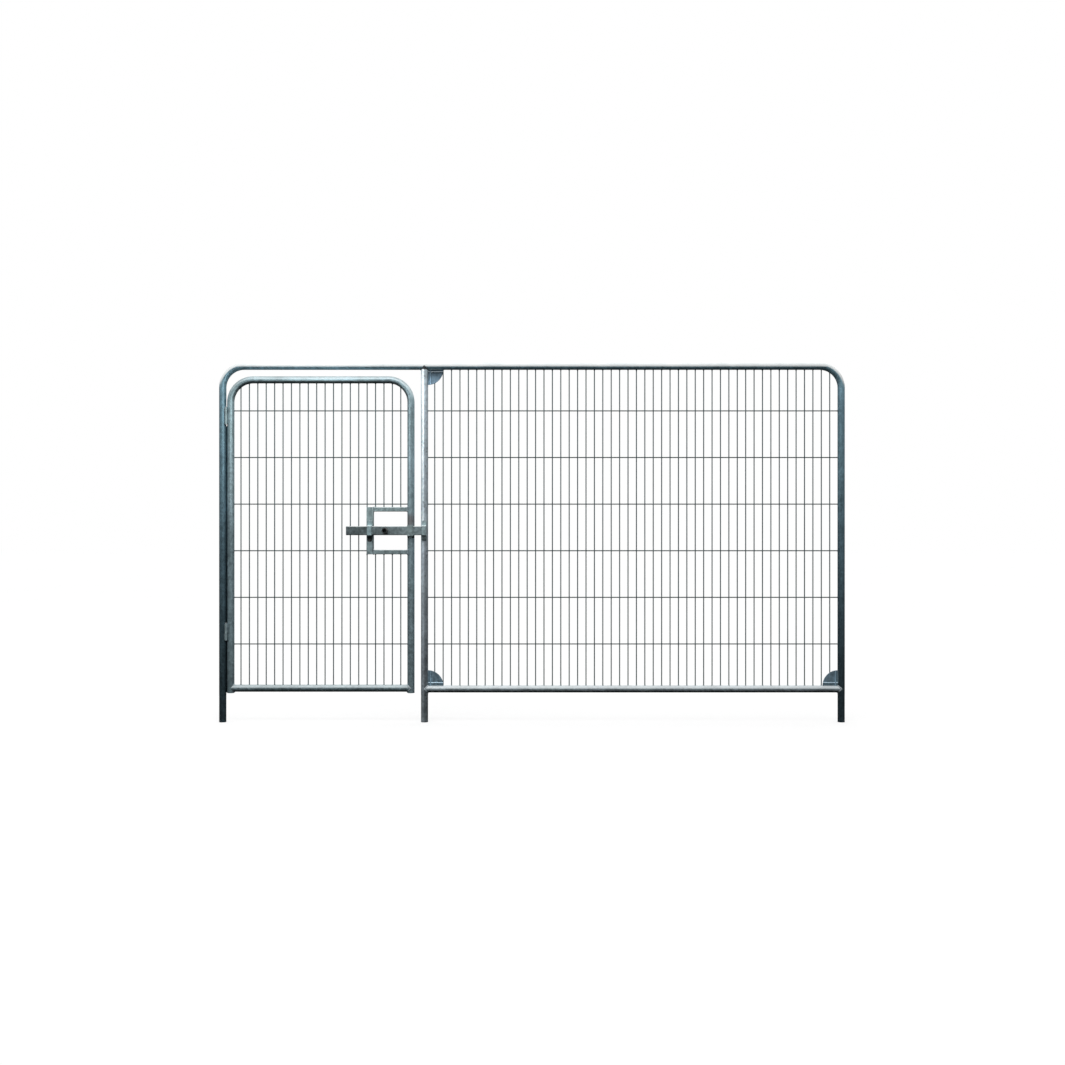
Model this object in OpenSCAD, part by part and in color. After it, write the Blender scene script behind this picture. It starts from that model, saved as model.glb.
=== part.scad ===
// Round-top mesh fence panel with a pedestrian gate.
// +X runs along the panel, +Y to its back and +Z up. The origin is the left leg's foot.
// The bolt is drawn clear of its keeper here, so that the gate is free to swing.

/* [Frame] */
// Width over the outsides of the two side posts
panel_w = 3500; // [3300:10:3700]
// Height from the ground to the top of the frame
panel_h = 2010; // [1960:10:2100]
// Outside diameter of the frame tube
tube_d = 40; // [38:1:41]
// Wall thickness of the frame tube
tube_wall = 2; // [1.5:0.5:3]
// Bend radius of the frame's top corners, at the tube's centreline
frame_bend_r = 120; // [100:5:135]
// Height of the bottom rail's centreline
bottom_rail_z = 185; // [175:1:200]
// Length of the sized end of each leg, which stands in a block
leg_len = 150; // [100:5:150]
// How much smaller the sized end is than the tube, in diameter
leg_relief = 0.6; // [0.5:0.1:1]

/* [Gate] */
// Gap between the left post and the gate's hinge stile
hinge_gap = 5; // [4:0.5:6]
// Distance between the centrelines of the gate's two stiles
gate_w = 1008; // [995:1:1015]
// Gap between the gate's latch stile and the middle post
latch_gap = 36; // [30:1:45]
// Gap between the top rail and the top of the gate
head_gap = 36; // [30:1:50]
// Bend radius of the gate's top corners, at the tube's centreline
gate_bend_r = 125; // [110:5:135]
// Height of the gate's bottom rail, at its centreline
gate_rail_z = 189; // [186:1:195]
// Height of the cut ends of the gate's stiles
stile_foot_z = 163; // [155:1:165]

/* [Mesh] */
// Diameter of every mesh wire
wire_d = 6; // [4:0.5:6]
// How far crossing wires sink into each other where they are welded
wire_set = 0.5; // [0.2:0.1:0.8]
// Number of vertical wires in the fixed panel
panel_wires = 48; // [40:1:50]
// Number of vertical wires in the gate, the last five of which the latch window cuts
gate_wires = 20; // [19:1:21]
// Distance from a tube's centreline to the nearest vertical wire
edge_gap = 57; // [55:1:60]
// Extra distance from the last vertical wire to the right post
right_extra = 7; // [0:1:10]
// Number of horizontal wires
cross_wires = 6; // [5:1:6]
// Height of the lowest horizontal wire
cross_z = 436; // [425:1:445]
// Distance between the horizontal wires
cross_step = 261; // [255:1:262]

/* [Latch] */
// Height of the latch bar's centreline
latch_z = 1070; // [1066:1:1074]
// Height of the latch bar
bar_h = 50; // [46:1:54]
// Depth of the latch bar, front to back
bar_depth = 25; // [20:1:30]
// Wall thickness of the latch bar
bar_wall = 2.5; // [2:0.5:3]
// Length of the latch bar
bar_len = 420; // [415:1:425]
// Distance from the middle post's centreline to the bar's tip, with the bolt drawn
tip_back = 13.5; // [13.3:0.1:14]
// Running clearance round the bar in its straps
bar_clear = 0.6; // [0.5:0.1:0.8]
// Width of the inner strap and the keeper
strap_w = 25; // [22:1:26]
// Thickness of the straps and the stile guide
strap_t = 4; // [3:0.5:5]
// Length of each strap foot, beyond the bridge
strap_foot = 24; // [18:1:28]
// Width of the guide on the latch stile
stile_guide_w = 34; // [30:1:36]
// Height of the latch window's frame
window_h = 264; // [254:2:266]
// Width of the window's side bar
side_bar_w = 38; // [36:1:40]
// Size of the window's square top and bottom bars
cross_bar = 25; // [20:1:26]
// Wall thickness of the window's box sections
box_wall = 2.5; // [2:0.5:3]
// Outside diameter of the bolt's handle tube
handle_d = 30; // [26:1:34]
// Wall thickness of the handle tube
handle_wall = 3; // [2:0.5:4]
// Length of the handle tube
handle_len = 45; // [35:1:60]
// Distance from the bar's tip to the handle's centreline
handle_back = 201; // [195:1:210]

/* [Hinges] */
// Outside diameter of the hinge barrels
barrel_d = 16; // [15:0.5:17]
// Diameter of the hinge pins
pin_d = 10; // [8:1:11]
// Radial running clearance of a gate barrel on its pin
pin_clear = 0.05; // [0.03:0.01:0.1]
// Gap between a barrel and the tube that it passes
hinge_clear = 0.6; // [0.4:0.1:0.8]
// Height of the upper hinge's lowest point
upper_hinge_z = 1666; // [1600:1:1670]
// Height of the lower hinge's lowest point
lower_hinge_z = 459; // [445:1:500]
// Height of a post knuckle
knuckle_h = 32; // [28:1:38]
// Height of a gate barrel
barrel_h = 60; // [55:1:70]
// Width of the guard strip that closes the hinge gap from behind
guard_w = 16; // [14:1:17]
// Thickness of the guard strip
guard_t = 3; // [2:0.5:3]

/* [Gussets] */
// Radius of the quarter-disc gussets
gusset_r = 85; // [75:1:95]
// Thickness of the gusset plates
gusset_t = 4; // [3:0.5:5]
// Distance from a tube to the gusset's bead
bead_in = 14; // [12:1:18]
// Radius of the gusset's beads
bead_r = 4.5; // [3:0.5:5]

/* [Hidden] */
$fn = 96;

tube_r = tube_d / 2;
leg_r = (tube_d - leg_relief) / 2;
leg_cone = 3;
past = 1;

// Places along X and Z, all at tube centrelines
right_x = panel_w - tube_d;
top_z = panel_h - tube_r;
hinge_stile_x = tube_d + hinge_gap;
latch_stile_x = hinge_stile_x + gate_w;
mid_x = latch_stile_x + tube_d + latch_gap;
gate_top_z = top_z - tube_d - head_gap;

// Mesh
wire_r = wire_d / 2;
cross_y = wire_d - wire_set;
gate_step = (gate_w - 2 * edge_gap) / (gate_wires - 1);
panel_step = (right_x - mid_x - 2 * edge_gap - right_extra) / (panel_wires - 1);
cut_wires = 5;
gate_wire_x = [for (i = [0:gate_wires - 1]) hinge_stile_x + edge_gap + i * gate_step];
panel_wire_x = [for (i = [0:panel_wires - 1]) mid_x + edge_gap + i * panel_step];
cross_wire_z = [for (i = [0:cross_wires - 1]) cross_z + i * cross_step];

// Latch window and bar: the side bar's left wall stands under the first cut wire
side_bar_x = gate_wire_x[gate_wires - cut_wires] + side_bar_w / 2 - 1.5;
side_bar_right_x = side_bar_x + side_bar_w / 2;
window_z = latch_z - window_h / 2;
box_corner_r = 4;
bar_back_y = -tube_r - bar_clear;
bar_y = bar_back_y - bar_depth / 2;
bar_front_y = bar_back_y - bar_depth;
tip_x = mid_x - tip_back;
handle_x = tip_x - handle_back;
slot_h = bar_h + 2 * bar_clear;
bridge_y = bar_front_y - bar_clear;
strap_bend_r = 6;
foot_sink = 0.3;

// Hinges: the pin stands in front of the gap, as near to each tube
hinge_x = hinge_stile_x / 2;
hinge_y = -sqrt(pow(tube_r + barrel_d / 2 + hinge_clear, 2) - pow(hinge_x, 2));
web_w = 8;
barrel_gap = 0.6;
pin_end = 4;
hinge_h = knuckle_h + barrel_gap + barrel_h;

// The guard strip stands on the left post, behind the gap and clear of the gate's stile
guard_x = 12;
guard_y = sqrt(pow(tube_r, 2) - pow(guard_x, 2)) - 0.4;
guard_top_gap = 10;

gusset_y = -wire_r - 0.2;

// ---- shapes ----

// Upright rod between two heights
module upright(x, z0, z1, r) {
  translate([x, 0, z0])
    cylinder(h = z1 - z0, r = r);
}

// Level rod along X between two places
module level(z, x0, x1, r, y = 0) {
  translate([x0, y, z])
    rotate([0, 90, 0])
      cylinder(h = x1 - x0, r = r);
}

// Quarter bend of a rod, from level on its left side to upright on its right
module bend(bend_r, r) {
  rotate([90, 0, 0])
    rotate_extrude(angle = 90)
      translate([bend_r, 0])
        circle(r = r);
}

// Hoop of solid rod: two uprights, a level top and two quarter bends
module hoop(x0, x1, z0, z1, bend_r, r) {
  upright(x0, z0, z1 - bend_r, r);
  upright(x1, z0, z1 - bend_r, r);
  level(z1, x0 + bend_r, x1 - bend_r, r);
  translate([x1 - bend_r, 0, z1 - bend_r])
    bend(bend_r, r);
  translate([x0 + bend_r, 0, z1 - bend_r])
    mirror([1, 0, 0])
      bend(bend_r, r);
}

// Ring that is cut from a leg to bring its end down to size
module leg_sizing(x) {
  translate([x, 0, 0])
    difference() {
      translate([0, 0, -past])
        cylinder(h = leg_len + leg_cone + past, r = tube_r + past);
      translate([0, 0, -2 * past])
        cylinder(h = leg_len + 2 * past, r = leg_r);
      translate([0, 0, leg_len])
        cylinder(h = leg_cone, r1 = leg_r, r2 = tube_r);
    }
}

module frame_solid() {
  hoop(0, right_x, 0, top_z, frame_bend_r, tube_r);
}

module gate_solid() {
  hoop(hinge_stile_x, latch_stile_x, stile_foot_z, gate_top_z, gate_bend_r, tube_r);
}

// Rectangle with round corners, centred
module round_rect(w, h, r) {
  difference() {
    square([w, h], center = true);
    for (sx = [-1, 1], sy = [-1, 1])
      translate([sx * (w / 2 - r), sy * (h / 2 - r)])
        difference() {
          translate([sx > 0 ? 0 : -r - past, sy > 0 ? 0 : -r - past])
            square(r + past);
          circle(r = r);
        }
  }
}

module box_section(w, h, wall, r) {
  difference() {
    round_rect(w, h, r);
    round_rect(w - 2 * wall, h - 2 * wall, r - wall + 0.5);
  }
}

// Box section lying along X: w is its depth in Y and h its height in Z
module box_along_x(x0, x1, y, z, w, h, wall, r) {
  translate([x0, y, z])
    rotate([90, 0, 90])
      linear_extrude(height = x1 - x0)
        box_section(w, h, wall, r);
}

// Quarter-disc plate in the XZ plane with a bead beside each straight edge
module gusset_plate() {
  intersection() {
    union() {
      rotate([90, 0, 0])
        cylinder(h = gusset_t, r = gusset_r);
      translate([bead_in, -gusset_t, 0])
        cylinder(h = gusset_r, r = bead_r);
      translate([0, -gusset_t, bead_in])
        rotate([0, 90, 0])
          cylinder(h = gusset_r, r = bead_r);
    }
    translate([-tube_r, -gusset_t - bead_r - past, -tube_r])
      cube([gusset_r + tube_r, gusset_t + bead_r + past, gusset_r + tube_r]);
    translate([0, past, 0])
      rotate([90, 0, 0])
        cylinder(h = gusset_t + bead_r + 3 * past, r = gusset_r);
  }
}

// Profile of a saddle strap in Y and Z: a bridge over the bar with a foot above and below
module strap_profile(seat_y) {
  reach = slot_h / 2 + strap_t;
  difference() {
    union() {
      translate([bridge_y - strap_t, -reach])
        square([seat_y - bridge_y + strap_t, 2 * reach]);
      translate([seat_y - strap_t, -reach - strap_foot])
        square([strap_t, 2 * (reach + strap_foot)]);
    }
    translate([bridge_y, -slot_h / 2])
      square([seat_y - bridge_y + past, slot_h]);
    for (s = [-1, 1])
      translate([bridge_y - strap_t + strap_bend_r, s * (reach - strap_bend_r)])
        difference() {
          translate([-strap_bend_r - past, s > 0 ? 0 : -strap_bend_r - past])
            square(strap_bend_r + past);
          circle(r = strap_bend_r);
        }
  }
}

// Saddle strap across the bar, its feet on a face at seat_y
module saddle_strap(x, seat_y) {
  translate([x - strap_w / 2, 0, latch_z])
    rotate([90, 0, 90])
      linear_extrude(height = strap_w)
        strap_profile(seat_y);
}

// Hinge part round the pin, with a web towards the tube that it is welded to
module hinge_part(tube_x, z, h, bore_r) {
  side = tube_x > hinge_x ? 1 : -1;
  web_len = tube_r + barrel_d / 2;
  translate([hinge_x, hinge_y, z])
    linear_extrude(height = h)
      difference() {
        union() {
          circle(d = barrel_d);
          rotate(atan2(-hinge_y, side * hinge_x))
            translate([0, -web_w / 2])
              square([web_len, web_w]);
        }
        circle(r = bore_r);
        translate([side * hinge_x, -hinge_y])
          circle(r = tube_r);
      }
}

module hinge_pin(z) {
  translate([hinge_x, hinge_y, z - pin_end])
    cylinder(h = hinge_h + 2 * pin_end, d = pin_d);
}

// ---- fixed panel ----

module frame_hoop() {
  color("slategray")
    difference() {
      frame_solid();
      hoop(0, right_x, -past, top_z, frame_bend_r, tube_r - tube_wall);
      leg_sizing(0);
      leg_sizing(right_x);
    }
}

module mid_post() {
  color("slategray")
    difference() {
      upright(mid_x, 0, top_z, tube_r);
      upright(mid_x, -past, top_z + past, tube_r - tube_wall);
      level(top_z, mid_x - tube_d, mid_x + tube_d, tube_r);
      leg_sizing(mid_x);
    }
}

module bottom_rail() {
  color("lightsteelblue")
    difference() {
      level(bottom_rail_z, mid_x, right_x, tube_r);
      level(bottom_rail_z, mid_x - past, right_x + past, tube_r - tube_wall);
      upright(mid_x, 0, 2 * bottom_rail_z, tube_r);
      upright(right_x, 0, 2 * bottom_rail_z, tube_r);
    }
}

module gusset_top_left() {
  color("cadetblue")
    difference() {
      translate([mid_x + tube_r, gusset_y, top_z - tube_r])
        mirror([0, 0, 1])
          gusset_plate();
      upright(mid_x, 0, top_z, tube_r);
      level(top_z, mid_x - tube_r, mid_x + 2 * gusset_r, tube_r);
    }
}

module gusset_bottom_left() {
  color("cadetblue")
    difference() {
      translate([mid_x + tube_r, gusset_y, bottom_rail_z + tube_r])
        gusset_plate();
      upright(mid_x, 0, top_z, tube_r);
      level(bottom_rail_z, mid_x - tube_r, mid_x + 2 * gusset_r, tube_r);
    }
}

module gusset_bottom_right() {
  color("cadetblue")
    difference() {
      translate([right_x - tube_r, gusset_y, bottom_rail_z + tube_r])
        mirror([1, 0, 0])
          gusset_plate();
      upright(right_x, 0, top_z / 2, tube_r);
      level(bottom_rail_z, right_x - 2 * gusset_r, right_x + tube_r, tube_r);
    }
}

module panel_vertical_wires() {
  color("darkcyan")
    difference() {
      for (x = panel_wire_x)
        upright(x, bottom_rail_z, top_z, wire_r);
      level(bottom_rail_z, mid_x, right_x, tube_r);
      frame_solid();
    }
}

module panel_horizontal_wires() {
  color("darkcyan")
    difference() {
      for (z = cross_wire_z)
        level(z, mid_x, right_x, wire_r, cross_y);
      upright(mid_x, 0, top_z, tube_r);
      upright(right_x, 0, top_z - frame_bend_r, tube_r);
    }
}

module post_knuckle_upper() {
  color("lightslategray")
    hinge_part(0, upper_hinge_z + barrel_h + barrel_gap, knuckle_h, pin_d / 2);
}

module post_knuckle_lower() {
  color("lightslategray")
    hinge_part(0, lower_hinge_z, knuckle_h, pin_d / 2);
}

module hinge_pin_upper() {
  color("silver")
    hinge_pin(upper_hinge_z);
}

module hinge_pin_lower() {
  color("silver")
    hinge_pin(lower_hinge_z);
}

module keeper_strap() {
  color("lightslategray")
    difference() {
      saddle_strap(mid_x, -tube_r + foot_sink);
      upright(mid_x, 0, top_z, tube_r);
    }
}

module hinge_guard() {
  color("slategray")
    difference() {
      translate([guard_x, guard_y, stile_foot_z])
        cube([guard_w, guard_t, upper_hinge_z - guard_top_gap - stile_foot_z]);
      upright(0, 0, top_z, tube_r);
    }
}

// ---- gate ----

module gate_hoop() {
  color("slategray")
    difference() {
      gate_solid();
      hoop(hinge_stile_x, latch_stile_x, stile_foot_z - past, gate_top_z, gate_bend_r, tube_r - tube_wall);
    }
}

module gate_bottom_rail() {
  color("lightsteelblue")
    difference() {
      level(gate_rail_z, hinge_stile_x, latch_stile_x, tube_r);
      level(gate_rail_z, hinge_stile_x - past, latch_stile_x + past, tube_r - tube_wall);
      upright(hinge_stile_x, 0, 2 * gate_rail_z, tube_r);
      upright(latch_stile_x, 0, 2 * gate_rail_z, tube_r);
    }
}

module gate_vertical_wires() {
  color("darkcyan")
    difference() {
      for (x = gate_wire_x)
        upright(x, gate_rail_z, gate_top_z, wire_r);
      translate([side_bar_x - side_bar_w / 2 - wire_r, -tube_r, window_z])
        cube([latch_stile_x - side_bar_x + side_bar_w / 2, tube_d, window_h]);
      level(gate_rail_z, hinge_stile_x, latch_stile_x, tube_r);
      gate_solid();
    }
}

module gate_horizontal_wires() {
  color("darkcyan")
    difference() {
      for (z = cross_wire_z)
        level(z, hinge_stile_x, latch_stile_x, wire_r, cross_y);
      translate([side_bar_x - side_bar_w / 2, -tube_r, window_z])
        cube([latch_stile_x - side_bar_x + side_bar_w / 2, tube_d, window_h]);
      gate_solid();
    }
}

module window_side_bar() {
  color("lightslategray")
    translate([side_bar_x, 0, window_z])
      linear_extrude(height = window_h)
        box_section(side_bar_w, tube_d, box_wall, box_corner_r);
}

module window_cross_bar(z) {
  color("lightslategray")
    difference() {
      box_along_x(side_bar_right_x, latch_stile_x, 0, z, cross_bar, cross_bar, box_wall, box_corner_r - 1);
      upright(latch_stile_x, 0, top_z, tube_r);
    }
}

module window_top_bar() {
  window_cross_bar(window_z + window_h - cross_bar / 2);
}

module window_bottom_bar() {
  window_cross_bar(window_z + cross_bar / 2);
}

module guide_strap_inner() {
  color("lightslategray")
    saddle_strap(side_bar_x, -tube_r);
}

module guide_strap_stile() {
  reach = slot_h / 2 + strap_t;
  color("lightslategray")
    difference() {
      translate([latch_stile_x - stile_guide_w / 2, bridge_y - strap_t, latch_z - reach])
        cube([stile_guide_w, -bridge_y + strap_t, 2 * reach]);
      translate([latch_stile_x - stile_guide_w, bridge_y, latch_z - slot_h / 2])
        cube([2 * stile_guide_w, -bridge_y + past, slot_h]);
      upright(latch_stile_x, 0, top_z, tube_r);
    }
}

module gate_barrel_upper() {
  color("lightslategray")
    hinge_part(hinge_stile_x, upper_hinge_z, barrel_h, pin_d / 2 + pin_clear);
}

module gate_barrel_lower() {
  color("lightslategray")
    hinge_part(hinge_stile_x, lower_hinge_z + knuckle_h + barrel_gap, barrel_h, pin_d / 2 + pin_clear);
}

// ---- bolt ----

module slide_bar() {
  color("steelblue")
    difference() {
      box_along_x(tip_x - bar_len, tip_x, bar_y, latch_z, bar_depth, bar_h, bar_wall, box_corner_r);
      translate([handle_x, bar_y, latch_z])
        rotate([90, 0, 0])
          cylinder(h = bar_depth, d = handle_d - 2 * handle_wall);
    }
}

module bolt_handle() {
  color("steelblue")
    translate([handle_x, bar_front_y, latch_z])
      rotate([90, 0, 0])
        difference() {
          cylinder(h = handle_len, d = handle_d);
          translate([0, 0, -past])
            cylinder(h = handle_len + 2 * past, d = handle_d - 2 * handle_wall);
        }
}

frame_hoop();
mid_post();
bottom_rail();
gusset_top_left();
gusset_bottom_left();
gusset_bottom_right();
panel_vertical_wires();
panel_horizontal_wires();
post_knuckle_upper();
post_knuckle_lower();
hinge_pin_upper();
hinge_pin_lower();
keeper_strap();
hinge_guard();
gate_hoop();
gate_bottom_rail();
gate_vertical_wires();
gate_horizontal_wires();
window_side_bar();
window_top_bar();
window_bottom_bar();
guide_strap_inner();
guide_strap_stile();
gate_barrel_upper();
gate_barrel_lower();
slide_bar();
bolt_handle();
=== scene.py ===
"""Looks for the mesh fence panel with a pedestrian gate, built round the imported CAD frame.

The CAD nodes get zinc materials, and the square sections and straps get softened edges. The welds are
pieces of their own. X runs along the panel, Y away from the viewer and Z up, and lengths are in metres.
"""

import math
import random

import bmesh
import bpy
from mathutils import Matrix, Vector


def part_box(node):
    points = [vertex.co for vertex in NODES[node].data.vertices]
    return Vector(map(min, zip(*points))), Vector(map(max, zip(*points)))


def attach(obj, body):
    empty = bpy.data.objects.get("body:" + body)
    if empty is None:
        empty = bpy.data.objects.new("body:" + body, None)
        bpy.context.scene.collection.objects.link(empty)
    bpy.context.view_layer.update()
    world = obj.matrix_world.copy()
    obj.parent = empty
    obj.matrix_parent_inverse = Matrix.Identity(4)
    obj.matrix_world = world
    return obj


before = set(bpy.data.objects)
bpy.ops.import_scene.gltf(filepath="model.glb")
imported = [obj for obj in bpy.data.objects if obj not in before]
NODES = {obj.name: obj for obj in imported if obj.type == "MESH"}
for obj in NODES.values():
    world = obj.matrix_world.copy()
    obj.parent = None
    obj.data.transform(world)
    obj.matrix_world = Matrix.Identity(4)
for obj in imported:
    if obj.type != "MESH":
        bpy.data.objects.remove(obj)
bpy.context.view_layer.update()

MM = 0.001
X = Vector((1, 0, 0))
Y = Vector((0, 1, 0))
Z = Vector((0, 0, 1))


# ---------------------------------------------------------------- places, from the frame

HOOP_LOW, HOOP_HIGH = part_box("frame_hoop")
MID_LOW, MID_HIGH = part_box("mid_post")
RAIL_LOW, RAIL_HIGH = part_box("bottom_rail")
GATE_LOW, GATE_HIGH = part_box("gate_hoop")
GATE_RAIL_LOW, GATE_RAIL_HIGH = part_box("gate_bottom_rail")
SIDE_LOW, SIDE_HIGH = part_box("window_side_bar")
GUSSET_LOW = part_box("gusset_bottom_left")[0]
TOP_GUSSET_LOW, TOP_GUSSET_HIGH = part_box("gusset_top_left")
BAR_LOW, BAR_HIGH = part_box("slide_bar")
HANDLE_LOW, HANDLE_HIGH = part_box("bolt_handle")
INNER_LOW, INNER_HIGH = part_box("guide_strap_inner")
GUIDE_LOW, GUIDE_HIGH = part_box("guide_strap_stile")
KEEPER_LOW, KEEPER_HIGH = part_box("keeper_strap")
GUARD_LOW, GUARD_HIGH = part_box("hinge_guard")

PANEL_W = HOOP_HIGH.x - HOOP_LOW.x
PANEL_H = HOOP_HIGH.z
TUBE_R = (MID_HIGH.x - MID_LOW.x) / 2
GUSSET_BEAD_R = 4.5 * MM  # how far a gusset's pressed beads stand out

# Axes of the tubes
TOP_Z = HOOP_HIGH.z - TUBE_R
RAIL_Z = (RAIL_LOW.z + RAIL_HIGH.z) / 2
LEFT_X = HOOP_LOW.x + TUBE_R
MID_X = (MID_LOW.x + MID_HIGH.x) / 2
RIGHT_X = HOOP_HIGH.x - TUBE_R
GATE_RAIL_Z = (GATE_RAIL_LOW.z + GATE_RAIL_HIGH.z) / 2
HINGE_X = GATE_LOW.x + TUBE_R
LATCH_X = GATE_HIGH.x - TUBE_R


# ---------------------------------------------------------------- camera

SENSOR = 36.0
CAMERA_D = 7.0  # from the panel's middle plane
PICTURE_W = 1.7026 * PANEL_W  # width that the picture takes in, at the panel
PICTURE_X = (HOOP_LOW.x + HOOP_HIGH.x) / 2 + 3 * MM  # the picture's middle
PICTURE_Z = PANEL_H / 2 + 55 * MM

camera_data = bpy.data.cameras.new("camera")
camera_data.sensor_width = SENSOR
camera_data.lens = SENSOR * CAMERA_D / PICTURE_W
camera_data.clip_end = 200
camera = bpy.data.objects.new("camera", camera_data)
camera.location = (PICTURE_X, -CAMERA_D, PICTURE_Z)
camera.rotation_euler = (math.radians(90), 0, 0)
bpy.context.scene.collection.objects.link(camera)
bpy.context.scene.camera = camera
bpy.context.scene.view_settings.view_transform = "Standard"


# ---------------------------------------------------------------- node helpers


class Graph:
    """The nodes of a material or a world, added one call at a time."""

    def __init__(self, tree):
        self.tree = tree
        self.tree.nodes.clear()

    def add(self, kind, inputs=None, **settings):
        """A node with its settings, and each input linked to a socket or set to a constant."""
        node = self.tree.nodes.new(kind)
        for key, value in settings.items():
            setattr(node, key, value)
        for key, value in (inputs or {}).items():
            if isinstance(value, bpy.types.NodeSocket):
                self.tree.links.new(value, node.inputs[key])
            else:
                node.inputs[key].default_value = value
        return node

    def math(self, operation, a, b, clamp=False):
        return self.add("ShaderNodeMath", {0: a, 1: b}, operation=operation, use_clamp=clamp).outputs[0]

    def product(self, factors):
        result = factors[0]
        for factor in factors[1:]:
            result = self.math("MULTIPLY", result, factor)
        return result

    def remap(self, value, low, high, to_low, to_high, smooth=False):
        return self.add(
            "ShaderNodeMapRange",
            {"Value": value, "From Min": low, "From Max": high, "To Min": to_low, "To Max": to_high},
            interpolation_type="SMOOTHSTEP" if smooth else "LINEAR",
        ).outputs["Result"]

    def spread(self, noise, to_low, to_high):
        """A noise mostly stays between 0.3 and 0.7; this stretches it between two other values."""
        return self.remap(noise, 0.3, 0.7, to_low, to_high)

    def scaled(self, vector, scale):
        return self.add(
            "ShaderNodeVectorMath", {0: vector, 1: scale}, operation="MULTIPLY"
        ).outputs["Vector"]

    def noise(self, vector, scale, detail=3.0, rough=0.55):
        return self.add(
            "ShaderNodeTexNoise",
            {"Vector": vector, "Scale": scale, "Detail": detail, "Roughness": rough},
        ).outputs["Fac"]

    def mix(self, fac, a, b, blend="MIX"):
        """Two colours mixed; a colour mix has its factor in socket 0 and its colours in 6 and 7."""
        return self.add(
            "ShaderNodeMix", {0: fac, 6: a, 7: b}, data_type="RGBA", blend_type=blend
        ).outputs[2]

    def grey(self, value):
        """A number as a grey colour."""
        return self.add("ShaderNodeCombineColor", {0: value, 1: value, 2: value}).outputs[0]


def rgb(r, g, b):
    return (r, g, b, 1.0)


# ---------------------------------------------------------------- zinc

# White for upward faces: painted top light, with some chalky bloom
TOP_LIGHT_AND_CHALK = rgb(0.84, 0.85, 0.84)
GREENISH = rgb(0.93, 1.0, 0.97)
BLUISH = rgb(0.98, 0.98, 1.06)


def zinc_patterns(g, spangle_mm):
    """The patterns that every zinc surface shares, as sockets by name."""
    place = g.add("ShaderNodeTexCoord").outputs["Object"]
    normal = g.add("ShaderNodeNewGeometry").outputs["Normal"]
    wobble = g.add("ShaderNodeTexNoise", {"Vector": place, "Scale": 160.0, "Detail": 2.0}).outputs["Color"]
    bent = g.add(
        "ShaderNodeVectorMath", {0: wobble, 1: (3 * MM, 3 * MM, 3 * MM), 2: place}, operation="MULTIPLY_ADD"
    ).outputs[0]
    large = g.add("ShaderNodeTexVoronoi", {"Vector": bent, "Scale": 1000.0 / spangle_mm}).outputs["Color"]
    small = g.add("ShaderNodeTexVoronoi", {"Vector": bent, "Scale": 3400.0 / spangle_mm}).outputs["Color"]
    return {
        "place": place,
        "axes": g.add("ShaderNodeSeparateXYZ", {0: place}).outputs,
        "facing": g.add("ShaderNodeSeparateXYZ", {0: normal}).outputs,
        "crystal": g.add("ShaderNodeSeparateColor", {0: large}).outputs[0],
        "fine": g.add("ShaderNodeSeparateColor", {0: small}).outputs[1],
        "cloud": g.noise(place, 7.0, 4.0),
        "patch": g.noise(place, 38.0, 4.0, 0.6),
        "run": g.noise(g.scaled(place, (60.0, 60.0, 5.0)), 1.0, 4.0, 0.6),
        "grain": g.noise(place, 700.0, 2.0),
    }


def zinc_bumps(g, patterns):
    """Crystals, runs and grain standing out from the surface, as a normal."""
    normal = None
    for name, strength, distance in (("crystal", 0.10, 0.6), ("run", 0.35, 2.0), ("grain", 0.20, 0.4)):
        inputs = {"Height": patterns[name], "Strength": strength, "Distance": distance * MM}
        if normal is not None:
            inputs["Normal"] = normal
        normal = g.add("ShaderNodeBump", inputs).outputs[0]
    return normal


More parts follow.
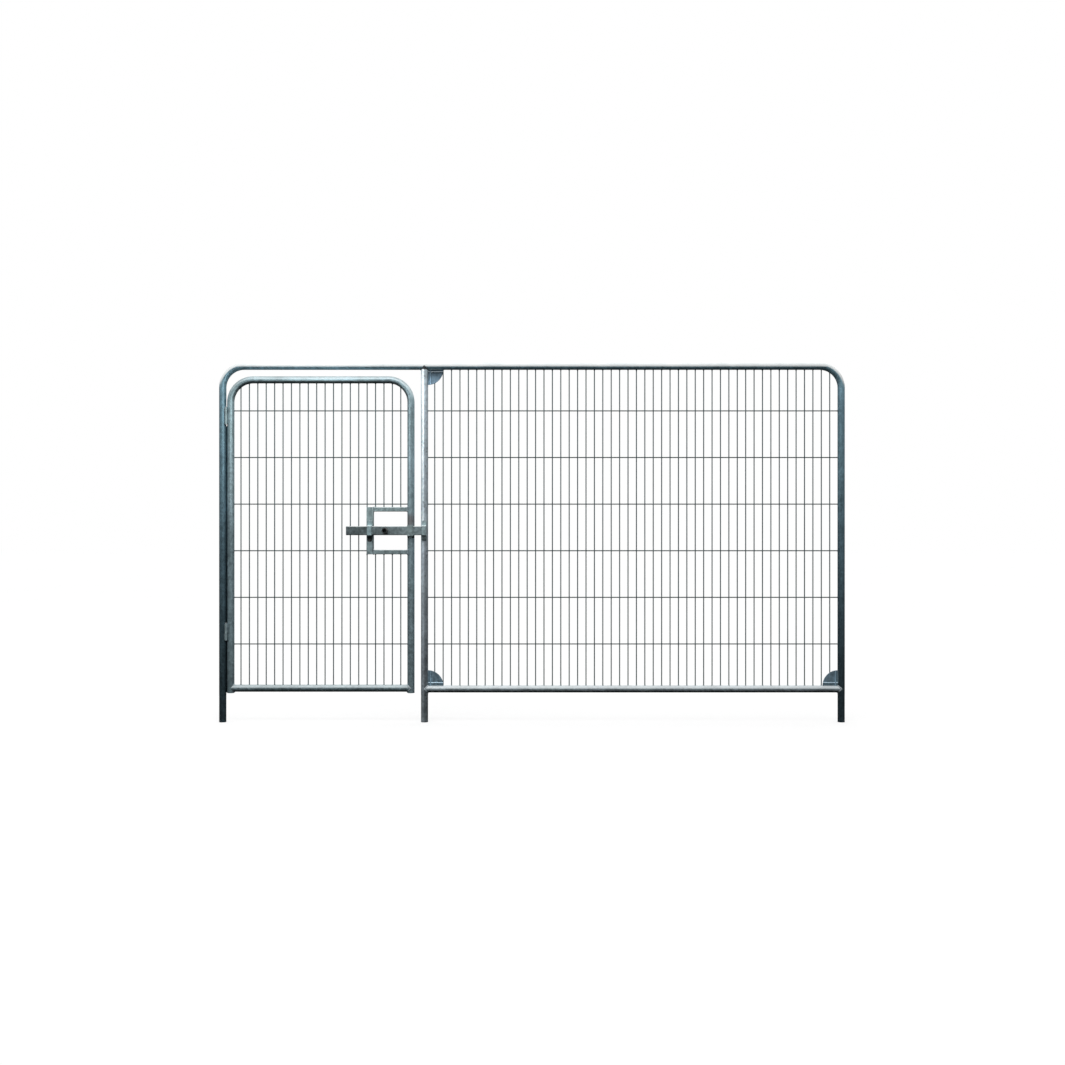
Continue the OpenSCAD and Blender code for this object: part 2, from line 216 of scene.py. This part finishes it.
def zinc(
    name, colour, foot=1.0, top=1.0, low=0.0, high=PANEL_H, along="Z", rough=0.46, spangle_mm=11.0,
    contrast=0.11, metallic=0.80, top_light_and_chalk=0.80, top_light_and_chalk_from=0.02, top_light_and_chalk_to=0.50, shade=0.45, lit_ridge=None,
    side=None, shadow_cap=None, lit_crest=None, rub=False, stain=None
):
    """Weathered hot-dip zinc: crystals, cloudy bloom, runs from the bath, some grime, and painted light and
    shade.

    foot, top: how light it is at low and at high, which are places along an axis; mostly this is painted
    shade, darker where less light falls
    spangle_mm, contrast: the crystals' size, and how much their lightness differs
    top_light_and_chalk: painted top light with some chalky bloom, whitening upward faces from a facing of
    top_light_and_chalk_from up to one of top_light_and_chalk_to
    shade: painted shade, how light undersides are; above 1 it paints light there
    lit_ridge: Y of a plate's face and of its beads' crest; painted light on the crest and painted shade on
    the face
    side: painted light and shade, how light the faces towards -X and towards +X are
    shadow_cap: two heights, and how light it is above the second, a painted shadow
    lit_crest: two heights between which it turns white, a painted highlight along a tube's top
    rub: bright scratches along X
    stain: the centre, radius and colour of a heat mark
    """
    material = bpy.data.materials.new(name)
    material.use_nodes = True
    g = Graph(material.node_tree)
    p = zinc_patterns(g, spangle_mm)
    axes = p["axes"]
    facing = p["facing"]

    factors = [
        g.remap(p["crystal"], 0.0, 1.0, 1.0 - contrast, 1.0 + contrast),
        g.remap(p["fine"], 0.0, 1.0, 1.0 - contrast * 0.5, 1.0 + contrast * 0.5),
        g.spread(p["cloud"], 0.80, 1.18),
        g.spread(p["patch"], 0.88, 1.10),
        g.spread(p["run"], 0.86, 1.12),
        g.spread(p["grain"], 0.94, 1.06),
        # Lightness along an axis, mostly painted shade
        g.remap(axes[along], low, high, foot, top, smooth=True),
        # Painted shade on undersides
        g.remap(facing["Z"], -0.8, -0.1, shade, 1.0, smooth=True),
    ]
    # Painted shadow: darker above the second of two heights
    if shadow_cap:
        factors.append(g.remap(axes["Z"], shadow_cap[0], shadow_cap[1], 1.0, shadow_cap[2], smooth=True))
    if rub:
        lines = g.noise(g.scaled(p["place"], (14.0, 650.0, 650.0)), 1.0, 3.0)
        factors.append(g.remap(lines, 0.55, 0.75, 1.0, 1.45))
    # Painted light and shade by which way a face looks along X
    if side:
        factors.append(g.remap(facing["X"], -0.35, 0.20, side[0], side[1], smooth=True))
    # Painted light on the beads' crest, painted shade on the face between them
    if lit_ridge:
        factors.append(g.remap(axes["Y"], lit_ridge[1], lit_ridge[0], 1.5, 0.85))

    bloom = g.remap(g.noise(p["place"], 16.0, 5.0, 0.62), 0.52, 0.72, 0.0, 0.30, smooth=True)
    tint = g.mix(g.noise(p["place"], 4.0, 2.0), GREENISH, BLUISH)
    base = g.mix(1.0, rgb(*colour), tint, "MULTIPLY")
    base = g.mix(bloom, base, rgb(*(c * 1.35 for c in colour)))
    base = g.mix(1.0, base, g.grey(g.product(factors)), "MULTIPLY")
    if stain:
        centre, radius, burnt = stain
        away = g.add(
            "ShaderNodeVectorMath", {0: p["place"], 1: centre}, operation="DISTANCE"
        ).outputs["Value"]
        near = g.remap(away, radius * 0.3, radius, 0.75, 0.0, smooth=True)
        base = g.mix(g.math("MULTIPLY", near, g.remap(p["patch"], 0.3, 0.6, 0.6, 1.0)), base, rgb(*burnt))
    worn = g.spread(p["cloud"], 0.75, 1.0)
    # Upward faces turn white: painted top light, with some chalky bloom, patchy
    top_lit_and_chalky = g.math("MULTIPLY", g.remap(facing["Z"], top_light_and_chalk_from, top_light_and_chalk_to, 0.0, top_light_and_chalk, smooth=True), worn)
    # A painted highlight: white between two heights along a tube's top
    if lit_crest:
        lit_crest_mask = g.remap(axes["Z"], lit_crest[0], lit_crest[1], 0.0, top_light_and_chalk, smooth=True)
        top_lit_and_chalky = g.math("MAXIMUM", top_lit_and_chalky, g.math("MULTIPLY", lit_crest_mask, worn))
    base = g.mix(top_lit_and_chalky, base, TOP_LIGHT_AND_CHALK)

    roughness = g.remap(p["crystal"], 0.0, 1.0, rough - 0.09, rough + 0.09)
    roughness = g.math("ADD", roughness, g.math("MULTIPLY", bloom, 0.4))
    roughness = g.math("ADD", roughness, g.math("MULTIPLY", top_lit_and_chalky, 0.3))
    roughness = g.math("ADD", roughness, g.spread(p["run"], -0.04, 0.05), clamp=True)
    shine = g.math("MULTIPLY", g.math("SUBTRACT", 1.0, top_lit_and_chalky), metallic)

    shader = g.add(
        "ShaderNodeBsdfPrincipled",
        {"Base Color": base, "Metallic": shine, "Roughness": roughness, "Normal": zinc_bumps(g, p)},
    )
    g.add("ShaderNodeOutputMaterial", {"Surface": shader.outputs[0]})
    return material


# Tubes
# Painted shade: darker towards the foot, partly grime; undersides painted lighter, upward faces and the top
# rail's crest painted white as top light
FRAME_ZINC = zinc(
    "frame_zinc", (0.24, 0.39, 0.46), foot=0.17, top=0.83, low=0.12, top_light_and_chalk=0.95, top_light_and_chalk_from=0.0,
    top_light_and_chalk_to=0.22, shade=1.35, lit_crest=(TOP_Z - 0.40 * TUBE_R, TOP_Z + 0.05 * TUBE_R)
)
# Painted light and shade: lighter towards -X, darker towards +X and towards the foot, with a painted shadow
# at its head under the top rail
MID_ZINC = zinc(
    "mid_post_zinc", (0.72, 0.81, 0.87), foot=0.30, top=1.10, rough=0.36, metallic=0.60, side=(1.6, 0.75),
    shadow_cap=(TOP_Z - 1.05 * TUBE_R, TOP_Z - 0.85 * TUBE_R, 0.08)
)
# Undersides painted almost black as shade, upward faces painted white as top light
RAIL_ZINC = zinc("rail_zinc", (0.38, 0.44, 0.47), top_light_and_chalk=0.50, top_light_and_chalk_to=0.30, shade=0.03)
# Painted shade: darker towards the foot and on undersides; the stain by the latch is a heat mark
GATE_ZINC = zinc(
    "gate_zinc", (0.34, 0.45, 0.48), foot=0.68, top_light_and_chalk=0.34, top_light_and_chalk_to=0.30, shade=0.36,
    stain=((LATCH_X, GATE_LOW.y, GUIDE_HIGH.z + 26 * MM), 55 * MM, (0.17, 0.14, 0.14))
)

# Mesh
WIRE_ZINC = zinc(
    "wire_zinc", (0.075, 0.115, 0.12), spangle_mm=5.0, rough=0.5, metallic=0.5, top_light_and_chalk=0.10
)
CROSS_ZINC = zinc(
    "cross_wire_zinc", (0.025, 0.050, 0.050), spangle_mm=5.0, rough=0.5, metallic=0.4, top_light_and_chalk=0.03
)

# Plates
# Depths for painted light on the gussets' bead crests and painted shade on their faces
LIT_RIDGE = (GUSSET_LOW.y + GUSSET_BEAD_R, GUSSET_LOW.y)
GUSSET_ZINC = zinc("gusset_zinc", (0.25, 0.36, 0.43), top_light_and_chalk=0.3, lit_ridge=LIT_RIDGE)
# Painted shadow of the top rail: darker towards the gusset's top
TOP_GUSSET_ZINC = zinc(
    "top_gusset_zinc", (0.30, 0.44, 0.56), foot=1.0, top=0.15, low=TOP_GUSSET_LOW.z,
    high=TOP_GUSSET_HIGH.z, top_light_and_chalk=0.3, lit_ridge=LIT_RIDGE
)
# Near black: painted shade in the gap between the left post and the hinge stile
SHADED_GUARD_ZINC = zinc("shaded_guard_zinc", (0.03, 0.06, 0.09), foot=0.5, metallic=0.3, top_light_and_chalk=0.1)

# Window, straps, bolt and hinges
BOX_ZINC = zinc("box_zinc", (0.32, 0.40, 0.41), top_light_and_chalk=0.4)
# Painted shadow: near black at its lower end, under the bar
STRAP_ZINC = zinc(
    "strap_zinc", (0.36, 0.47, 0.49), foot=0.06, top=1.0, low=INNER_LOW.z + 18 * MM,
    high=INNER_LOW.z + 27 * MM, top_light_and_chalk=0.4
)
# Painted shadow: darker at its lower end, under the bar
KEEPER_ZINC = zinc(
    "keeper_zinc", (0.36, 0.45, 0.46), foot=0.30, top=1.0, low=INNER_LOW.z + 2 * MM,
    high=INNER_LOW.z + 24 * MM, top_light_and_chalk=0.4
)
GUIDE_ZINC = zinc("guide_zinc", (0.25, 0.31, 0.31), spangle_mm=13.0, contrast=0.22, top_light_and_chalk=0.3)
BOLT_ZINC = zinc(
    "bolt_zinc", (0.27, 0.33, 0.34), foot=0.50, top=0.95, low=BAR_LOW.x, high=BAR_HIGH.x, along="X",
    spangle_mm=13.0, contrast=0.20, top_light_and_chalk=0.4, rub=True
)
# Near black all over: painted shade of the handle tube's open end
SHADED_HANDLE_ZINC = zinc("shaded_handle_zinc", (0.05, 0.055, 0.055), metallic=0.3, rough=0.55, top_light_and_chalk=0.15)
PIN_STEEL = zinc("pin_steel", (0.40, 0.42, 0.44), spangle_mm=3.0, rough=0.3)

# Welds
WELD_ZINC = zinc(
    "weld_zinc", (0.16, 0.21, 0.23), spangle_mm=4.0, contrast=0.20, metallic=0.6, rough=0.52, top_light_and_chalk=0.2
)
DARK_WELD = zinc("dark_weld", (0.05, 0.07, 0.08), spangle_mm=4.0, metallic=0.5, rough=0.5, top_light_and_chalk=0.1)
# Near black: painted shadow under the straps and round the handle
SHADOW_BLACK_WELD = zinc(
    "shadow_black_weld", (0.018, 0.018, 0.018), spangle_mm=4.0, metallic=0.2, rough=0.7, top_light_and_chalk=0.05
)
RAIL_WELD_ZINC = zinc(
    "rail_weld_zinc", (0.34, 0.40, 0.43), spangle_mm=4.0, contrast=0.20, metallic=0.6, rough=0.5, top_light_and_chalk=0.4
)

FINISH = {
    FRAME_ZINC: ["frame_hoop"],
    MID_ZINC: ["mid_post"],
    RAIL_ZINC: ["bottom_rail"],
    GATE_ZINC: ["gate_hoop", "gate_bottom_rail"],
    WIRE_ZINC: ["panel_vertical_wires", "gate_vertical_wires"],
    CROSS_ZINC: ["panel_horizontal_wires", "gate_horizontal_wires"],
    GUSSET_ZINC: ["gusset_bottom_left", "gusset_bottom_right"],
    TOP_GUSSET_ZINC: ["gusset_top_left"],
    SHADED_GUARD_ZINC: ["hinge_guard"],
    BOX_ZINC: [
        "window_side_bar", "window_top_bar", "window_bottom_bar",
        "post_knuckle_upper", "post_knuckle_lower", "gate_barrel_upper", "gate_barrel_lower",
    ],
    STRAP_ZINC: ["guide_strap_inner"],
    KEEPER_ZINC: ["keeper_strap"],
    GUIDE_ZINC: ["guide_strap_stile"],
    BOLT_ZINC: ["slide_bar"],
    SHADED_HANDLE_ZINC: ["bolt_handle"],
    PIN_STEEL: ["hinge_pin_upper", "hinge_pin_lower"],
}
for material, node_names in FINISH.items():
    for node_name in node_names:
        for slot in NODES[node_name].material_slots:
            slot.material = material


# ---------------------------------------------------------------- softened edges


def soften(name, width):
    """Rounds the sharp edges of a CAD node as it is shown."""
    node = NODES[name]
    weld = node.modifiers.new("joined", "WELD")
    weld.merge_threshold = 0.01 * MM
    flat = node.modifiers.new("flat_faces", "DECIMATE")
    flat.decimate_type = "DISSOLVE"
    flat.angle_limit = math.radians(1)
    bevel = node.modifiers.new("rounded", "BEVEL")
    bevel.width = width
    bevel.segments = 2
    bevel.limit_method = "ANGLE"
    bevel.angle_limit = math.radians(40)


for node_name in ("window_side_bar", "window_top_bar", "window_bottom_bar", "slide_bar"):
    soften(node_name, 0.8 * MM)
for node_name in ("guide_strap_inner", "keeper_strap", "guide_strap_stile"):
    soften(node_name, 0.7 * MM)


# ---------------------------------------------------------------- weld shapes

rng = random.Random(7)

RING_STEP = 0.9 * MM  # between the rings of a bead
RIPPLE = 0.09  # of a bead's radius
RIPPLE_TURN = 2.1  # radians from ring to ring
JITTER = 0.10 * MM
LUMP_PROFILE = ((-1.0, 0.25), (-0.55, 0.80), (0.0, 1.0), (0.55, 0.80), (1.0, 0.25))  # place, radius


class Beads:
    """Weld beads and lumps on one body, gathered into one mesh."""

    def __init__(self):
        self.verts = []
        self.faces = []

    def ring(self, centre, along, side, radius, sides):
        side = (side - along * side.dot(along)).normalized()
        other = along.cross(side)
        start = len(self.verts)
        for k in range(sides):
            turn = math.tau * k / sides
            self.verts.append(centre + (side * math.cos(turn) + other * math.sin(turn)) * radius)
        return start

    def join(self, a, b, sides):
        for k in range(sides):
            n = (k + 1) % sides
            self.faces.append((a + k, a + n, b + n, b + k))

    def sweep(self, points, radii, side, closed=False, sides=8):
        """A round bead along points; side is a direction that the path never runs along."""
        count = len(points)
        rings = []
        for i, point in enumerate(points):
            before = points[i - 1] if closed or i > 0 else point
            after = points[(i + 1) % count] if closed or i < count - 1 else point
            rings.append(self.ring(point, (after - before).normalized(), side, radii[i], sides))
        for a, b in zip(rings, rings[1:] + (rings[:1] if closed else [])):
            self.join(a, b, sides)
        if not closed:
            self.faces.append(tuple(range(rings[0] + sides - 1, rings[0] - 1, -1)))
            self.faces.append(tuple(range(rings[-1], rings[-1] + sides)))

    def run(self, curve, radius, side, closed=False):
        """A rippled weld along curve(t), t from 0 to 1."""
        rough = [curve(k / 64) for k in range(65)]
        length = sum((b - a).length for a, b in zip(rough, rough[1:]))
        count = max(8, round(length / RING_STEP))
        points = []
        radii = []
        for k in range(count):
            t = k / count if closed else k / (count - 1)
            jitter = Vector((rng.uniform(-1, 1), rng.uniform(-1, 1), rng.uniform(-1, 1))) * JITTER
            taper = 1.0 if closed else min(1.0, 0.45 + 6.0 * min(t, 1.0 - t))
            ripple = RIPPLE * math.sin(k * RIPPLE_TURN) + rng.uniform(-0.04, 0.04)
            points.append(curve(t) + jitter)
            radii.append(radius * taper * (1.0 + ripple))
        self.sweep(points, radii, side, closed)

    def line(self, a, b, radius, side):
        self.run(lambda t: a.lerp(b, t), radius, side)

    def lump(self, centre, along, side, radius, half, sides=6):
        """A squashed nugget, longer along than it is wide."""
        size = radius * rng.uniform(0.88, 1.12)
        points = [centre + along * (half * place) for place, _ in LUMP_PROFILE]
        self.sweep(points, [size * wide for _, wide in LUMP_PROFILE], side, sides=sides)

    def collar(self, foot, away, side, thin, fat, length):
        """Where a wire ends on a tube: a flare from the wire's own size, wider towards the tube."""
        fat *= rng.uniform(0.9, 1.12)
        stops = (
            (-0.3, fat * 0.9), (0.0, fat), (0.30, fat * 0.86), (0.65, thin + (fat - thin) * 0.3), (1.0, thin)
        )
        points = [foot + away * (length * place) for place, _ in stops]
        self.sweep(points, [radius for _, radius in stops], side, sides=10)

    def build(self, name, body, material):
        mesh = bpy.data.meshes.new(name)
        mesh.from_pydata([tuple(v) for v in self.verts], [], self.faces)
        mesh.materials.append(material)
        for polygon in mesh.polygons:
            polygon.use_smooth = True
        mesh.update()
        shape = bmesh.new()
        shape.from_mesh(mesh)
        bmesh.ops.recalc_face_normals(shape, faces=shape.faces)
        shape.to_mesh(mesh)
        shape.free()
        piece = bpy.data.objects.new(name, mesh)
        bpy.context.scene.collection.objects.link(piece)
        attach(piece, body)


def tube_edge(off):
    """How far a tube's surface is from one of its middle planes, at a distance off its other one."""
    return math.sqrt(max(0.0, TUBE_R**2 - off**2))


def bead_y(s, radius):
    """Y of a bead's middle round a joint of equal tubes, s from -1 at the front to 1 at the back.
    The bead is proud at the front and almost flush at the back."""
    sunk = 0.75 if s > 0 else 0.35
    return (TUBE_R - sunk * radius) * s


def saddle(place, out, radius, proud=True):
    """The line where a level tube meets the side of an equal post, which it leaves towards out.
    It stays within the tubes' depth if not proud."""

    def curve(t):
        c = math.cos(math.tau * t)
        s = math.sin(math.tau * t)
        y = bead_y(s, radius) if proud else (TUBE_R - 1.25 * radius) * s
        return place + X * out * TUBE_R * abs(c) + Y * y + Z * TUBE_R * c

    return curve


def box_outline(low, high, face_x):
    """The outline of a level box section's end, where face_x(y) is the face that it is welded to."""
    corners = [(low.y, low.z), (high.y, low.z), (high.y, high.z), (low.y, high.z)]

    def curve(t):
        side = min(3, int(t * 4))
        part = t * 4 - side
        a = corners[side]
        b = corners[(side + 1) % 4]
        y = a[0] + (b[0] - a[0]) * part
        return Vector((face_x(y), y, a[1] + (b[1] - a[1]) * part))

    return curve


# ---------------------------------------------------------------- welds

TUBE_WELD_R = 3.8 * MM
BOX_WELD_R = 2.6 * MM
STILE_WELD_R = 2.8 * MM
PLATE_WELD_R = 2.6 * MM
STRAP_WELD_R = 3.4 * MM
SHADOW_WELD_R = 5.0 * MM
HANDLE_WELD_R = 2.4 * MM
HINGE_WELD_R = 2.3 * MM
STITCH_R = 1.8 * MM
FLARE = 1.55  # how much wider a wire's end is than the wire
FLARE_L = 5.0 * MM


def loose_boxes(name):
    """The low and high corner of each separate wire in a CAD node."""
    node = NODES[name]
    shape = bmesh.new()
    shape.from_mesh(node.data)
    bmesh.ops.remove_doubles(shape, verts=shape.verts, dist=0.001 * MM)
    seen = set()
    boxes = []
    for first in shape.verts:
        if first in seen:
            continue
        seen.add(first)
        heap = [first]
        low = high = node.matrix_world @ first.co
        while heap:
            vertex = heap.pop()
            place = node.matrix_world @ vertex.co
            low = Vector(map(min, low, place))
            high = Vector(map(max, high, place))
            for edge in vertex.link_edges:
                other = edge.other_vert(vertex)
                if other not in seen:
                    seen.add(other)
                    heap.append(other)
        boxes.append((low, high))
    shape.free()
    return sorted(boxes, key=lambda pair: (round(pair[0].x, 4), round(pair[0].z, 4)))


def weld_mesh(body):
    """A nugget wherever two wires cross and a flare wherever one ends."""
    beads = Beads()
    uprights = loose_boxes(body + "_vertical_wires")
    levels = loose_boxes(body + "_horizontal_wires")
    for low, high in uprights:
        middle = (low + high) / 2
        wire_r = (high.x - low.x) / 2
        for end, away in ((low.z, Z), (high.z, -Z)):
            foot = Vector((middle.x, middle.y, end))
            beads.collar(foot, away, X, wire_r, wire_r * FLARE, FLARE_L)
        for other_low, other_high in levels:
            place = (other_low + other_high) / 2
            if other_low.x < middle.x < other_high.x and low.z < place.z < high.z:
                crossing = Vector((middle.x, (middle.y + place.y) / 2, place.z))
                beads.lump(crossing, X, Z, wire_r * 1.10, wire_r * 1.75)
                beads.lump(crossing, Z, X, wire_r * 1.05, wire_r * 1.65)
    for low, high in levels:
        middle = (low + high) / 2
        wire_r = (high.z - low.z) / 2
        for end, away in ((low.x, X), (high.x, -X)):
            foot = Vector((end, middle.y, middle.z))
            beads.collar(foot, away, Z, wire_r, wire_r * FLARE, FLARE_L)
    beads.build(body + "_wire_welds", body, WIRE_ZINC)


def weld_panel_tubes():
    beads = Beads()
    for post_x, out in ((MID_X, 1), (RIGHT_X, -1)):
        beads.run(saddle(Vector((post_x, 0, RAIL_Z)), out, TUBE_WELD_R), TUBE_WELD_R, X, closed=True)
    beads.build("panel_rail_welds", "panel", RAIL_WELD_ZINC)

    def post_head(t):
        c = math.cos(math.tau * t)
        s = math.sin(math.tau * t)
        return Vector((MID_X + TUBE_R * c, bead_y(s, TUBE_WELD_R), TOP_Z - TUBE_R * abs(c)))

    beads = Beads()
    beads.run(post_head, TUBE_WELD_R, Z, closed=True)
    beads.build("post_head_weld", "panel", DARK_WELD)


def weld_gate_tubes():
    """The gate's bottom rail on both stiles, and the window's level bars at both their ends."""
    beads = Beads()
    # The open gate comes within a millimetre of the left post on the hinge side, so that bead is flush
    for stile_x, out, proud in ((HINGE_X, 1, False), (LATCH_X, -1, True)):
        joint = saddle(Vector((stile_x, 0, GATE_RAIL_Z)), out, TUBE_WELD_R, proud)
        beads.run(joint, TUBE_WELD_R, X, closed=True)
    clear = 0.6 * MM
    for name in ("window_top_bar", "window_bottom_bar"):
        low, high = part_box(name)
        on_side_bar = box_outline(low, high, lambda y: SIDE_HIGH.x + clear)
        on_stile = box_outline(low, high, lambda y: LATCH_X - tube_edge(y) - clear)
        beads.run(on_side_bar, BOX_WELD_R, X, closed=True)
        beads.run(on_stile, STILE_WELD_R, X, closed=True)
    beads.build("gate_tube_welds", "gate", RAIL_WELD_ZINC)


def weld_gussets():
    """A bead along each tube, at the front and the back of each plate."""
    beads = Beads()
    for name, corner_x, corner_z, sx, sz in (
        ("gusset_top_left", MID_X, TOP_Z, 1, -1),
        ("gusset_bottom_left", MID_X, RAIL_Z, 1, 1),
        ("gusset_bottom_right", RIGHT_X, RAIL_Z, -1, 1),
    ):
        low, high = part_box(name)
        reach = (high.x - low.x) - 3 * MM
        for y in (low.y + GUSSET_BEAD_R, high.y):
            edge = tube_edge(y)
            near = edge + 2 * MM
            far = edge + reach
            beads.line(
                Vector((corner_x + sx * edge, y, corner_z + sz * near)),
                Vector((corner_x + sx * edge, y, corner_z + sz * far)), PLATE_WELD_R, X
            )
            beads.line(
                Vector((corner_x + sx * near, y, corner_z + sz * edge)),
                Vector((corner_x + sx * far, y, corner_z + sz * edge)), PLATE_WELD_R, Z
            )
    beads.build("gusset_welds", "panel", WELD_ZINC)


def weld_inner_strap(beads, z, radius):
    """A level bead along one end of the inner strap, on the window's side bar."""
    y = SIDE_LOW.y - 1.2 * MM
    margin = 1 * MM
    beads.line(Vector((INNER_LOW.x + margin, y, z)), Vector((INNER_HIGH.x - margin, y, z)), radius, Z)


def weld_guide_straps():
    """Clean welds above and beside the two guides, and near-black ones below them that paint the shadow
    under the guides.
    """
    beads = Beads()
    weld_inner_strap(beads, INNER_HIGH.z + 0.5 * MM, STRAP_WELD_R)
    for x in (GUIDE_LOW.x + 0.5 * MM, GUIDE_HIGH.x - 0.5 * MM):
        y = -tube_edge(x - LATCH_X) + 0.6 * MM
        low = Vector((x, y, GUIDE_LOW.z + 1 * MM))
        high = Vector((x, y, GUIDE_HIGH.z - 1 * MM))
        beads.line(low, high, STILE_WELD_R, Y)
    beads.build("guide_strap_welds", "gate", WELD_ZINC)

    beads = Beads()
    weld_inner_strap(beads, INNER_LOW.z - 1.0 * MM, SHADOW_WELD_R)
    for x in (GUIDE_LOW.x + 4 * MM, GUIDE_HIGH.x - 4 * MM):
        place = Vector((x, -tube_edge(x - LATCH_X), GUIDE_LOW.z - 4 * MM))
        beads.lump(place, Z, X, 6.4 * MM, 8.0 * MM, sides=12)
    beads.build("shadow_black_strap_welds", "gate", SHADOW_BLACK_WELD)


def weld_keeper():
    """A bead round the front of the middle post, below and above the keeper."""
    beads = Beads()
    width = 20 * MM
    for z in (KEEPER_LOW.z - 0.5 * MM, KEEPER_HIGH.z + 0.5 * MM):

        def round_post(t, z=z):
            off = (t - 0.5) * width
            return Vector((MID_X + off, -tube_edge(off) - 0.8 * MM, z))

        beads.run(round_post, STRAP_WELD_R, Z)
    beads.build("keeper_welds", "panel", WELD_ZINC)


def weld_handle():
    """Arcs above and below the handle's root; its sides stay bare because they stop against the straps."""
    beads = Beads()
    middle = (HANDLE_LOW + HANDLE_HIGH) / 2
    handle_r = (HANDLE_HIGH.x - HANDLE_LOW.x) / 2
    for start, end in ((40, 140), (220, 320)):

        def arc(t, start=start, end=end):
            turn = math.radians(start + (end - start) * t)
            x = middle.x + handle_r * math.cos(turn)
            z = middle.z + handle_r * math.sin(turn)
            return Vector((x, BAR_LOW.y - 0.4 * MM, z))

        beads.run(arc, HANDLE_WELD_R, Y)
    # Near black arcs: painted shade round the handle's end
    beads.build("handle_weld", "bolt", SHADOW_BLACK_WELD)


def weld_hinges(body, tube_x, names):
    """A bead down each side of the groove between a barrel and its tube."""
    beads = Beads()
    for name, pin_name in zip(names, ("hinge_pin_upper", "hinge_pin_lower")):
        low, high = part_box(name)
        pin_low, pin_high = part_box(pin_name)
        axis = Vector(((pin_low.x + pin_high.x) / 2, (pin_low.y + pin_high.y) / 2, 0))
        toward = (axis - X * tube_x).normalized()
        across = toward.cross(Z)
        for sign in (-1, 1):
            place = X * tube_x + toward * (TUBE_R + 0.9 * MM) + across * sign * 4.6 * MM
            beads.line(place + Z * (low.z + 2 * MM), place + Z * (high.z - 2 * MM), HINGE_WELD_R, X)
    beads.build(body + "_hinge_welds", body, WELD_ZINC)


def weld_guard():
    """Stitches down the edge of the hinge guard, on the left post."""
    beads = Beads()
    stitches = 7
    half_length = 11 * MM
    first = GUARD_LOW.z + 25 * MM
    last = GUARD_HIGH.z - 25 * MM
    x = GUARD_LOW.x + 1 * MM
    y = tube_edge(x - LEFT_X) - 0.4 * MM
    for k in range(stitches):
        z = first + (last - first) * k / (stitches - 1)
        beads.line(Vector((x, y, z - half_length)), Vector((x, y, z + half_length)), STITCH_R, X)
    beads.build("guard_welds", "panel", WELD_ZINC)


weld_mesh("panel")
weld_mesh("gate")
weld_panel_tubes()
weld_gate_tubes()
weld_gussets()
weld_guide_straps()
weld_keeper()
weld_handle()
weld_hinges("panel", LEFT_X, ("post_knuckle_upper", "post_knuckle_lower"))
weld_hinges("gate", HINGE_X, ("gate_barrel_upper", "gate_barrel_lower"))
weld_guard()


# ---------------------------------------------------------------- studio


def add_floor():
    """A pale floor that gives off a little light itself but doesn't light the object."""
    reach = 60.0
    mesh = bpy.data.meshes.new("floor")
    corners = [(-reach, -reach, 0), (reach, -reach, 0), (reach, reach, 0), (-reach, reach, 0)]
    mesh.from_pydata(corners, [], [(0, 1, 2, 3)])
    floor = bpy.data.objects.new("floor", mesh)
    bpy.context.scene.collection.objects.link(floor)
    material = bpy.data.materials.new("floor_paint")
    material.use_nodes = True
    g = Graph(material.node_tree)
    shade = g.spread(g.noise(g.add("ShaderNodeTexCoord").outputs["Object"], 0.6), 0.25, 0.26)
    shader = g.add(
        "ShaderNodeBsdfPrincipled",
        {
            "Base Color": g.grey(shade),
            "Roughness": 0.9,
            "Specular IOR Level": 0.0,
            "Emission Color": rgb(1, 1, 1),
            "Emission Strength": 0.68,
        },
    )
    g.add("ShaderNodeOutputMaterial", {"Surface": shader.outputs[0]})
    mesh.materials.append(material)
    floor.visible_diffuse = False
    floor.visible_glossy = False


def add_sky():
    """Soft light from above, little from the sides and almost none from below, in front of a white
    backdrop."""
    world = bpy.data.worlds.new("studio")
    bpy.context.scene.world = world
    world.use_nodes = True
    g = Graph(world.node_tree)
    toward = g.add("ShaderNodeTexCoord").outputs["Generated"]
    up = g.add("ShaderNodeSeparateXYZ", {0: toward}).outputs["Z"]
    ramp = g.add("ShaderNodeValToRGB", {"Fac": g.remap(up, -1.0, 1.0, 0.0, 1.0)})
    # 0 is straight down, 0.5 the horizon and 1 straight up
    stops = [(0.0, 0.02), (0.46, 0.03), (0.50, 0.12), (0.56, 0.24), (0.70, 0.80), (0.80, 1.0)]
    elements = ramp.color_ramp.elements
    for index, (place, value) in enumerate(stops):
        element = elements[index] if index < 2 else elements.new(place)
        element.position = place
        element.color = rgb(value, value, value)
    sky = g.add("ShaderNodeBackground", {"Color": ramp.outputs["Color"], "Strength": 1.4})
    backdrop = g.add("ShaderNodeBackground", {"Color": rgb(1, 1, 1), "Strength": 1.0})
    seen = g.add("ShaderNodeLightPath").outputs["Is Camera Ray"]
    both = g.add("ShaderNodeMixShader", {0: seen, 1: sky.outputs[0], 2: backdrop.outputs[0]})
    g.add("ShaderNodeOutputWorld", {"Surface": both.outputs[0]})


def add_softbox(name, place, target, width, height, power):
    data = bpy.data.lights.new(name, "AREA")
    data.shape = "RECTANGLE"
    data.size = width
    data.size_y = height
    data.energy = power
    lamp = bpy.data.objects.new(name, data)
    lamp.location = place
    lamp.visible_camera = False
    lamp.rotation_euler = (Vector(target) - Vector(place)).to_track_quat("-Z", "Y").to_euler()
    bpy.context.scene.collection.objects.link(lamp)


add_floor()
add_sky()
add_softbox(
    "top_front", place=(MID_X, -2.6, 4.2), target=(MID_X, 0, 1.9), width=3.0, height=1.0, power=45
)
add_softbox(
    "key", place=(0.11 * PANEL_W, -0.85, 0.90 * PANEL_H), target=(0.16 * PANEL_W, 0, 0.70 * PANEL_H),
    width=0.30, height=0.8, power=3.0
)
